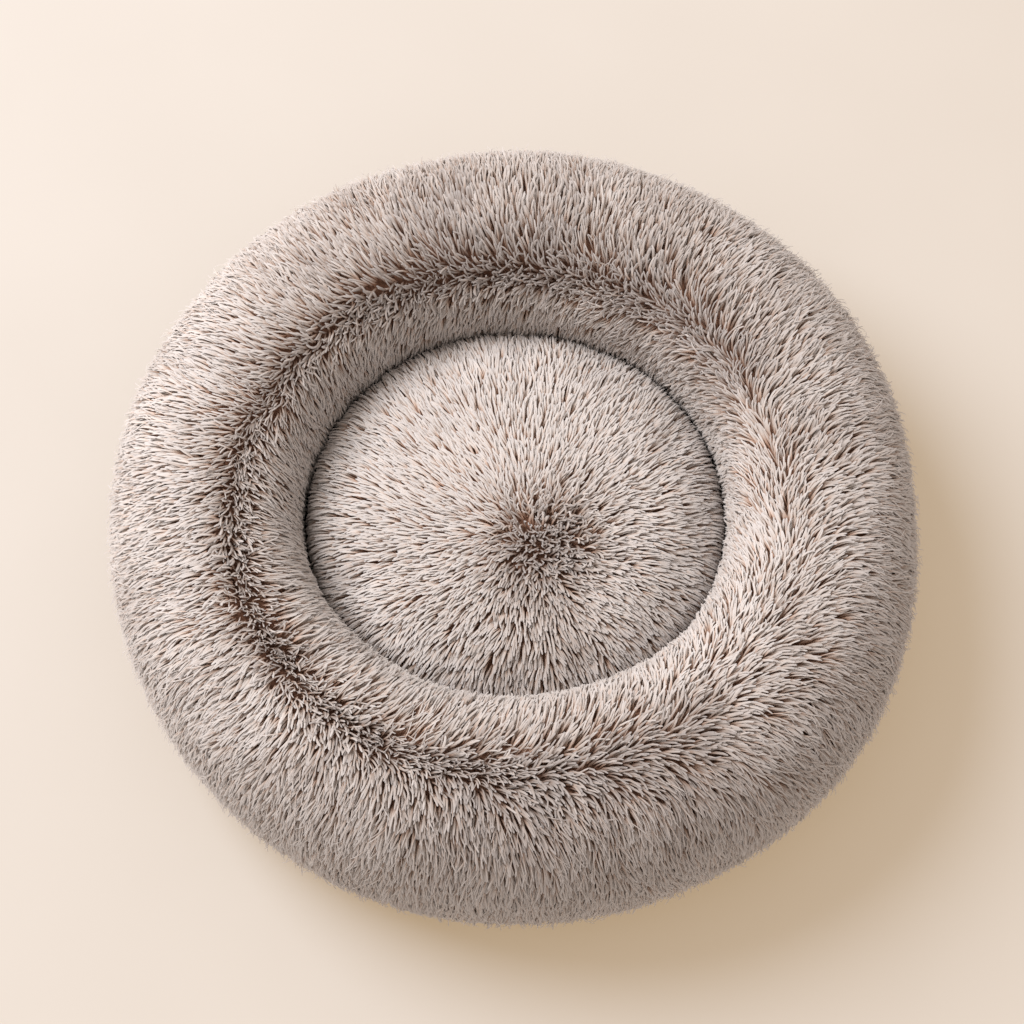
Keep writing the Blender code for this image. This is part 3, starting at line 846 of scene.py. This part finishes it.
def grow_cushion(skin, turn, place, length, lift, stray, curl, twist):
    """Centre lines and normals of the cushion's strands, which flow out from one point."""
    lines, normals = [], []
    flat = around_z(place, turn, 0.0)[:, :2]
    for step, share in enumerate(STRAND_SHARE):
        if step:
            advance = length * (STRAND_FORWARD[step] - STRAND_FORWARD[step - 1])
            away = flat - np.array(FLOW_CENTRE)
            direction = np.degrees(np.arctan2(away[:, 1], away[:, 0]))
            bend = -14.0 * hump(direction, 100.0, 30.0) + 16.0 * hump(direction, 290.0, 34.0)
            bend *= np.exp(-((np.hypot(away[:, 0], away[:, 1]) / 0.10) ** 2))
            heading = np.radians(direction + bend + stray + curl * share)
            flat = flat + around_z(1.0, heading, 0.0)[:, :2] * advance[:, None]
        reach = np.clip(np.hypot(flat[:, 0], flat[:, 1]), 0.0, skin.length)
        around = np.arctan2(flat[:, 1], flat[:, 0])
        spot, normal = skin.at(around % (2.0 * np.pi), reach)
        on_side = smooth_step(np.hypot(spot[:, 0], spot[:, 1]), 0.120, 0.148)
        # At the shoulder the pile stands out until it meets the rim.
        shoulder = smooth_step(spot[:, 2], 0.066, 0.088)
        at_left = hump(np.degrees(around), 158.0, 46.0)
        side_depth = CUSHION_PILE_SIDE + (0.0046 + 0.0024 * at_left) * shoulder
        depth = CUSHION_PILE_TOP + (side_depth - CUSHION_PILE_TOP) * on_side
        line = spot + normal * (lift * depth * STRAND_RISE[step])[:, None]
        lines.append(line + twist * share**2)
        normals.append(normal)
    return np.stack(lines, 1), np.stack(normals, 1)


def build_cushion_fur(skin, material):
    def mess_at(turn, place):
        return cushion_mess(np.cos(turn) * place, np.sin(turn) * place)

    def thinning(turn, place):
        return np.where(place > 0.165, 0.42, 0.72 + 0.14 * mess_at(turn, place))

    def facts(turn, place, steadiness):
        degrees, mess = np.degrees(turn), mess_at(turn, place)
        spot, _ = skin.at(turn, place)
        length, lift, stray, curl, twist, speckle = draw_habits(
            mess, CUSHION_LIFT_RANGE, CUSHION_HABITS, steadiness
        )
        length = CUSHION_PILE_LENGTH * length * (1.0 - 0.45 * mess)
        lift = lift * (1.0 + 0.22 * mess)
        stray += 5.0 * patches(spot, 0.026, 31) + 4.0 * patches(spot, 0.011, 32)
        edge, crease = smooth_step(place, 0.128, 0.150), smooth_step(place, 0.124, 0.142)
        tone = 0.82 + (0.12 + 0.22 * mess) * speckle + 0.045 * patches(spot, 0.025, 33)
        # Painted shade: the whorl's upright strands and the front of the cushion are darker.
        tone -= 0.96 * mess + 0.42 * hump(degrees, 285.0, 40.0)
        # Painted light at the cushion's edge, paler still at the left, where the rim shades it.
        tone += (0.10 + 0.22 * hump(degrees, 165.0, 55.0)) * edge
        # Painted shade in the crease at the front left, against the rim.
        tone -= 0.60 * hump(degrees, 228.0, 30.0) * crease
        return (length, lift, stray, curl, twist), tone

    end = skin.length - 0.001
    roots = ring_places(skin, GUIDE_SPACING, 0.0005, end)
    shape, _ = facts(*roots, 0.8)
    guides, _ = grow_cushion(skin, *roots, *shape)
    turn, place = ring_places(skin, STRAND_SPACING, 0.0005, end, thinning)
    shape, tone = facts(turn, place, 1.0)
    lines, normals = grow_cushion(skin, turn, place, *shape)
    lines = clump(lines, guides, RANDOM.uniform(0.10, 0.58, len(turn)))
    radius = STRAND_RADIUS * RANDOM.uniform(*RADIUS_RANGE, len(turn))
    strand_meshes("cushion_fur", lines, normals, radius, tone, material, "cushion", turn)


# ---- underside, seams and zips


def cloth_disc(name, radius, heights, slot_arc, ripple, seed, material):
    """A flat round cloth, a closed thin mesh of polar cells, with an arc-shaped slot left out.

    slot_arc is (inner radius, outer radius, first degree, last degree) or None.
    """
    radii, degrees = np.linspace(radius * 0.02, radius, 44), np.arange(0.0, 360.0, 2.5)
    if slot_arc:
        slot_in, slot_out, first, last = slot_arc
        radii = [r for r in radii if min(abs(r - slot_in), abs(r - slot_out)) > 0.0012]
        degrees = [d for d in degrees if min(abs(d - first), abs(d - last)) > 0.7]
        radii, degrees = np.sort([*radii, slot_in, slot_out]), np.sort([*degrees, first, last])
    rings, around = len(radii), len(degrees)
    ring_radius, turn = np.meshgrid(radii, np.radians(degrees), indexing="ij")
    flat = around_z(ring_radius, turn, 0.0).reshape(-1, 3)
    slack = smooth_step(ring_radius, radius, radius * 0.9).ravel()
    quads = grid_faces(around, rings)
    if slot_arc:
        # The cloth lies flat along the slot.
        beside = np.maximum(np.maximum(slot_in - ring_radius, ring_radius - slot_out), 0.0)
        beyond = np.abs(degrees_apart(np.degrees(turn), (first + last) / 2)) - (last - first) / 2
        to_slot = beside + 0.2 * np.radians(np.maximum(beyond, 0.0))
        slack *= smooth_step(to_slot, 0.0, 0.012).ravel()
        corner = quads[:, 0]
        cell_radius = ring_radius.ravel()[corner] + 1e-5
        cell_degrees = np.degrees(turn.ravel()[corner]) + 0.01
        cut = (cell_radius > slot_in) & (cell_radius < slot_out)
        cut &= (cell_degrees > first) & (cell_degrees < last)
        quads = quads[~cut]
    wave = np.abs(patches(flat, 0.030, seed)) + 0.5 * np.abs(patches(flat, 0.011, seed + 1))
    shift = ripple * slack * np.minimum(wave, 2.0) / 2.0
    upwards = np.array([0.0, 0.0, 1.0])
    bottom, top = (flat + np.outer(height + shift, upwards) for height in heights)
    middles = np.outer(np.array(heights) + shift[0], upwards)
    count = len(flat)
    columns = np.arange(around)
    fan = np.stack([columns, (columns + 1) % around, np.full(around, 2 * count)], 1)
    top_fan = fan + (count, count, 1)
    # The walls stand on the edges that only one face uses.
    ends = np.concatenate([quads[:, [i, (i + 1) % 4]] for i in range(4)] + [fan[:, [0, 1]]])
    _, index, used = np.unique(np.sort(ends, 1), axis=0, return_inverse=True, return_counts=True)
    lone = ends[used[index.ravel()] == 1]
    walls = np.concatenate([lone, lone[:, ::-1] + count], 1)
    points = np.concatenate([bottom, top, middles])
    lists = [quads, fan, quads + count, top_fan, walls]
    return closed_piece(name, points, lists, material, smooth=False)


def swept_ring(name, centre_radius, centre_z, section, around, ripple, seed, material):
    """A ring whose section is a closed loop of (radius, height) offsets, slightly wavy."""
    turn = np.arange(around) * 2.0 * np.pi / around
    sway = ripple * slow_wave(turn, (17, 23, 31, 44), seed)
    swell = 1.0 + 0.03 * slow_wave(turn, (29, 37, 53), seed + 1)
    radii = centre_radius + section[:, :1] * swell + 0.3 * sway
    heights = centre_z + section[:, 1:] * np.minimum(swell, 1.0)
    closing = band((len(section) - 1) * around, 0, around)
    lists = [grid_faces(around, len(section)), closing]
    return closed_piece(name, around_z(radii, turn, heights), lists, material)


def rounded_section(half_width, half_height, roundness, steps):
    turn = np.arange(steps) * 2.0 * np.pi / steps
    power = 2.0 / roundness
    across, up = signed_power(np.cos(turn), power), signed_power(np.sin(turn), power)
    return np.stack([half_width * across, half_height * up], -1)


def ring_of(radius_x, radius_y, z, sides=6):
    section = rounded_section(radius_x, radius_y, 2.0, sides)
    return np.concatenate([section, np.full((sides, 1), z)], 1)


def arc_frames(radius, z, degrees, lean=0.0):
    """Places along an arc, with three axes each: outwards, up, and along the arc."""
    turn = np.radians(degrees)
    outwards, along = around_z(1.0, turn, 0.0), around_z(1.0, turn + np.pi / 2.0, 0.0)
    along = unit(along + lean * outwards)
    up = np.zeros_like(along) + (0.0, 0.0, 1.0)
    return around_z(radius, turn, z), np.stack([np.cross(along, up), up, along], 1)


def many_copies(name, rings, places, axes, material):
    """One mesh of copies of a small closed shape, which is given as rings of points."""
    around, shape = len(rings[0]), np.concatenate(rings)
    points = places[:, None] + np.einsum("pj,njk->npk", shape, axes)
    end = np.arange(around)[None]
    lists = [grid_faces(around, len(rings)), end[:, ::-1], end + len(shape) - around]
    return closed_piece(name, points, repeated(lists, len(shape), len(places)), material)


def stitches(name, rows, length, thickness, material):
    """Rows of thread loops that dip into the cloth. A row is (radius, z, first, last, pitch)."""
    rings = [
        ring_of(thickness * size, thickness * 0.75 * size, share * length / 2.0)
        for share, size in ((-1.0, 0.35), (-0.6, 0.9), (0.0, 1.0), (0.6, 0.9), (1.0, 0.35))
    ]
    frames = []
    for radius, z, first, last, pitch in rows:
        count = max(2, int(math.radians(last - first) * radius / pitch))
        degrees = first + (np.arange(count) + 0.5) * (last - first) / count
        frames.append(arc_frames(radius, z, degrees, lean=0.06))
    places, axes = (np.concatenate(parts) for parts in zip(*frames))
    return many_copies(name, rings, places, axes, material)


def build_teeth(name, centre_radius, z, first, last, inner, material):
    """Moulded teeth, each a rounded block with a hook that reaches past the middle."""
    count = int(math.radians(last - first) * centre_radius / TOOTH_PITCH)
    step = (last - first) / count
    degrees = first + (np.arange(count - 1) + (0.5 if inner else 1.0)) * step
    side = -1.0 if inner else 1.0
    rings = []
    for offset, half_z, half_along in TOOTH_RINGS:
        section = rounded_section(half_z, half_along, 3.0, 8)
        rings.append(np.concatenate([np.full((8, 1), side * offset), section], 1))
    return many_copies(name, rings, *arc_frames(centre_radius, z, degrees), material)


def build_grip_dots(material, slot_arc, radius, cloth_z):
    """Small domes printed under the base in a staggered pattern."""
    rows = np.arange(-30, 31)
    x = (rows[None, :] + 0.5 * (rows[:, None] % 2)) * DOT_PITCH
    y = rows[:, None] * DOT_PITCH * math.sqrt(0.75) + np.zeros_like(x)
    x, y = x.ravel(), y.ravel()
    reach, turn = np.hypot(x, y), np.degrees(np.arctan2(y, x)) % 360.0
    slot_in, slot_out, first, last = slot_arc
    in_slot = (reach > slot_in - 0.007) & (reach < slot_out + 0.007)
    in_slot &= (turn > first - 2.0) & (turn < last + 2.0)
    keep = (reach < radius - 0.006) & ~in_slot
    places = np.stack([x, y, np.full(len(x), cloth_z)], -1)[keep]
    rings = [ring_of(DOT_RADIUS * size, DOT_RADIUS * size, z, 10) for size, z in DOT_RINGS]
    axes = np.eye(3) * RANDOM.uniform(0.92, 1.05, (len(places), 1, 1))
    axes[:, 2] = (0.0, 0.0, 1.0)
    return many_copies("base_grip_dots", rings, places, axes, material)


def wear(nodes, names, material):
    for name in names:
        for material_slot in nodes[name].material_slots:
            material_slot.material = material


def build_underside(nodes):
    """Cloths, bindings, stitching, dots and zip teeth, and materials for the nodes that stay."""
    base_cloth = weave_material("base_cloth", (70, 59, 52), (104, 90, 80), 0.0009, 0.8)
    lining = weave_material("lining", (120, 106, 96), (152, 137, 126), 0.0007, 0.85)
    tape = weave_material("binding_tape", (84, 71, 62), (116, 101, 90), 0.0006, 0.75, 0.3)
    zip_tape = weave_material("zip_tape", (80, 68, 60), (104, 91, 81), 0.00045, 0.8, 0.3)
    bag = felt_material("spun_bag", (205, 205, 200), (232, 232, 228), 700.0)
    filling = felt_material("wadding", (222, 222, 216), (245, 245, 241), 160.0)
    label = weave_material("label_satin", (222, 219, 211), (240, 238, 231), 0.0003, 0.45, 0.15)
    grip = speckled_material("grip_rubber", (38, 33, 30), (52, 46, 42), 900.0, 0.55, 0.4)
    nylon = speckled_material("zip_nylon", (72, 63, 56), (92, 82, 74), 1200.0, 0.38, 0.5)
    zinc = speckled_material(
        "zip_zinc", 0.8, (168, 160, 152), 900.0, 0.34, 0.5, 3.0, 0.15,
        metallic=1.0, bump=(0.08, 0.0002),
    )
    thread = speckled_material("thread", 0.72, (134, 119, 107), 2500.0, 0.65, 0.3)

    wear(nodes, ("rim_inner_bag", "cushion_inner_bag"), bag)
    wear(nodes, ("rim_filling", "cushion_filling"), filling)
    wear(nodes, ("care_label",), label)
    for prefix in ("base", "cushion"):
        wear(nodes, (f"{prefix}_zip_tape_outer", f"{prefix}_zip_tape_inner"), zip_tape)
        metal_names = ("top_stop_outer", "top_stop_inner", "bottom_stop", "slider", "pull")
        wear(nodes, [f"{prefix}_zip_{part}" for part in metal_names], zinc)

    base_slot = (0.237, 0.253, 44.4, 135.6)
    cloth = cloth_disc("base_cloth", 0.2655, (0.0007, 0.0030), base_slot, 0.0007, 41, base_cloth)
    finish(cloth, "bed", "base_fabric", "base_panel")
    dots = finish(build_grip_dots(grip, base_slot, 0.2655, 0.0007), "bed", "base_fabric")
    section = rounded_section(0.00335, 0.0042, 4.5, 20)
    binding = swept_ring("base_binding", 0.26915, 0.00475, section, 240, 0.0004, 51, tape)
    finish(binding, "bed", "binding", "base_seam_binding")
    rows = [(0.2692, 0.00052, 0.0, 360.0, 0.0036)]
    rows += [(radius, 0.00068, 44.0, 136.0, 0.0034) for radius in (0.2340, 0.2560)]
    seam = stitches("base_seam_stitches", rows, 0.0026, 0.00030, thread)
    finish(seam, "bed", "binding")

    floor_cloth = cloth_disc(
        "well_floor_cloth", 0.1835, (0.0043, 0.0055), None, 0.0006, 43, lining
    )
    finish(floor_cloth, "bed", "lining", "well_floor_panel")
    section = rounded_section(0.00275, 0.00275, 4.0, 16)
    binding = swept_ring("well_binding", 0.18655, 0.00705, section, 200, 0.0003, 53, tape)
    finish(binding, "bed", "binding", "well_seam_binding")
    rows = [(0.1812, 0.00565, 0.0, 360.0, 0.0036)]
    seam = finish(stitches("well_seam_stitches", rows, 0.0026, 0.00030, thread), "bed", "lining")

    slot_arc = (0.104, 0.120, 27.7, 152.3)
    under = cloth_disc("cushion_underside", 0.1281, (0.0104, 0.0116), slot_arc, 0.0004, 45, lining)
    finish(under, "cushion", "lining", "cushion_underside_panel")
    section = rounded_section(0.003, 0.003, 2.0, 14)
    piping = swept_ring("cushion_piping_cord", 0.1315, 0.0089, section, 220, 0.0003, 55, tape)
    finish(piping, "cushion", "binding", "cushion_piping")
    rows = [(0.1262, 0.01035, 0.0, 360.0, 0.0034)]
    rows += [(radius, 0.01035, 27.0, 153.0, 0.0032) for radius in (0.1015, 0.1222)]
    seam = stitches("cushion_seam_stitches", rows, 0.0024, 0.00028, thread)
    finish(seam, "cushion", "lining")

    for prefix, body, *arc in (
        ("base", "bed", 0.245, 0.0046, 50.0, 130.0),
        ("cushion", "cushion", 0.112, 0.0122, 40.0, 140.0),
    ):
        for side in ("outer", "inner"):
            teeth = build_teeth(f"{prefix}_teeth_{side}", *arc, side == "inner", nylon)
            finish(teeth, body, "zip_teeth", f"{prefix}_zip_teeth_{side}")


# ---- stage


def build_stage():
    """Camera, studio light and floor."""
    scene = bpy.context.scene
    camera_data = bpy.data.cameras.new("camera")
    camera_data.lens, camera_data.sensor_width = CAMERA_LENS, CAMERA_SENSOR
    camera_data.clip_end = 50.0
    scene.camera = link("camera", camera_data)
    scene.camera.location = CAMERA_PLACE
    scene.camera.rotation_euler = (math.radians(CAMERA_TILT), 0.0, 0.0)

    scene.world = bpy.data.worlds.new("studio")
    scene.world.use_nodes = True
    sky = {"Color": (*srgb(255, 244, 233), 1.0), "Strength": 1.05}
    fill(scene.world.node_tree.nodes["Background"], sky)

    lamp = bpy.data.lights.new("key", "AREA")
    lamp.shape = "DISK"
    lamp.size, lamp.energy, lamp.color = KEY_SIZE, KEY_POWER, KEY_COLOUR
    light = link("key", lamp)
    light.location = KEY_PLACE
    ray = Vector(KEY_TARGET) - Vector(KEY_PLACE)
    light.rotation_euler = ray.to_track_quat("-Z", "Y").to_euler()

    # A little light of its own keeps the shadow on the floor as pale as it is in a studio.
    paint = speckled_material("floor", (133, 136, 142), (135, 138, 144), 6.0, 0.9, 0.1)
    glow = {"Emission Color": (*srgb(158, 131, 92), 1.0), "Emission Strength": 1.0}
    fill(paint.node_tree.nodes["Principled BSDF"], glow)
    corners = [[-6, -6, 0], [6, -6, 0], [6, 6, 0], [-6, 6, 0]]
    link("floor", mesh_of("floor", corners, [[[0, 1, 2, 3]]]), paint)


def main():
    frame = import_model()
    bpy.context.scene.view_settings.view_transform = "Standard"
    build_stage()

    fur = fur_material()
    backing = felt_material("cover_backing", (84, 58, 45), (112, 80, 64), 300.0)
    rim_skin, cushion_skin = build_rim_skin(), build_cushion_skin()
    seam_row = parting_row(rim_skin.angles)
    for name, node, body, skin, first_row, last_row in (
        ("rim_outer_cover", "rim_outer_plush_panel", "bed", rim_skin, 0, seam_row),
        ("rim_inner_cover", "rim_inner_plush_panel", "bed", rim_skin, seam_row, RIM_ROWS - 1),
        ("cushion_cover", "cushion_plush_cover", "cushion", cushion_skin, 0, CUSHION_ROWS - 1),
    ):
        closed_top = skin is cushion_skin
        piece = skin_piece(name, skin, first_row, last_row, backing, closed_top)
        finish(piece, body, "plush", node)
    build_rim_fur(rim_skin, fur)
    build_cushion_fur(cushion_skin, fur)
    build_underside(frame["nodes"])


main()
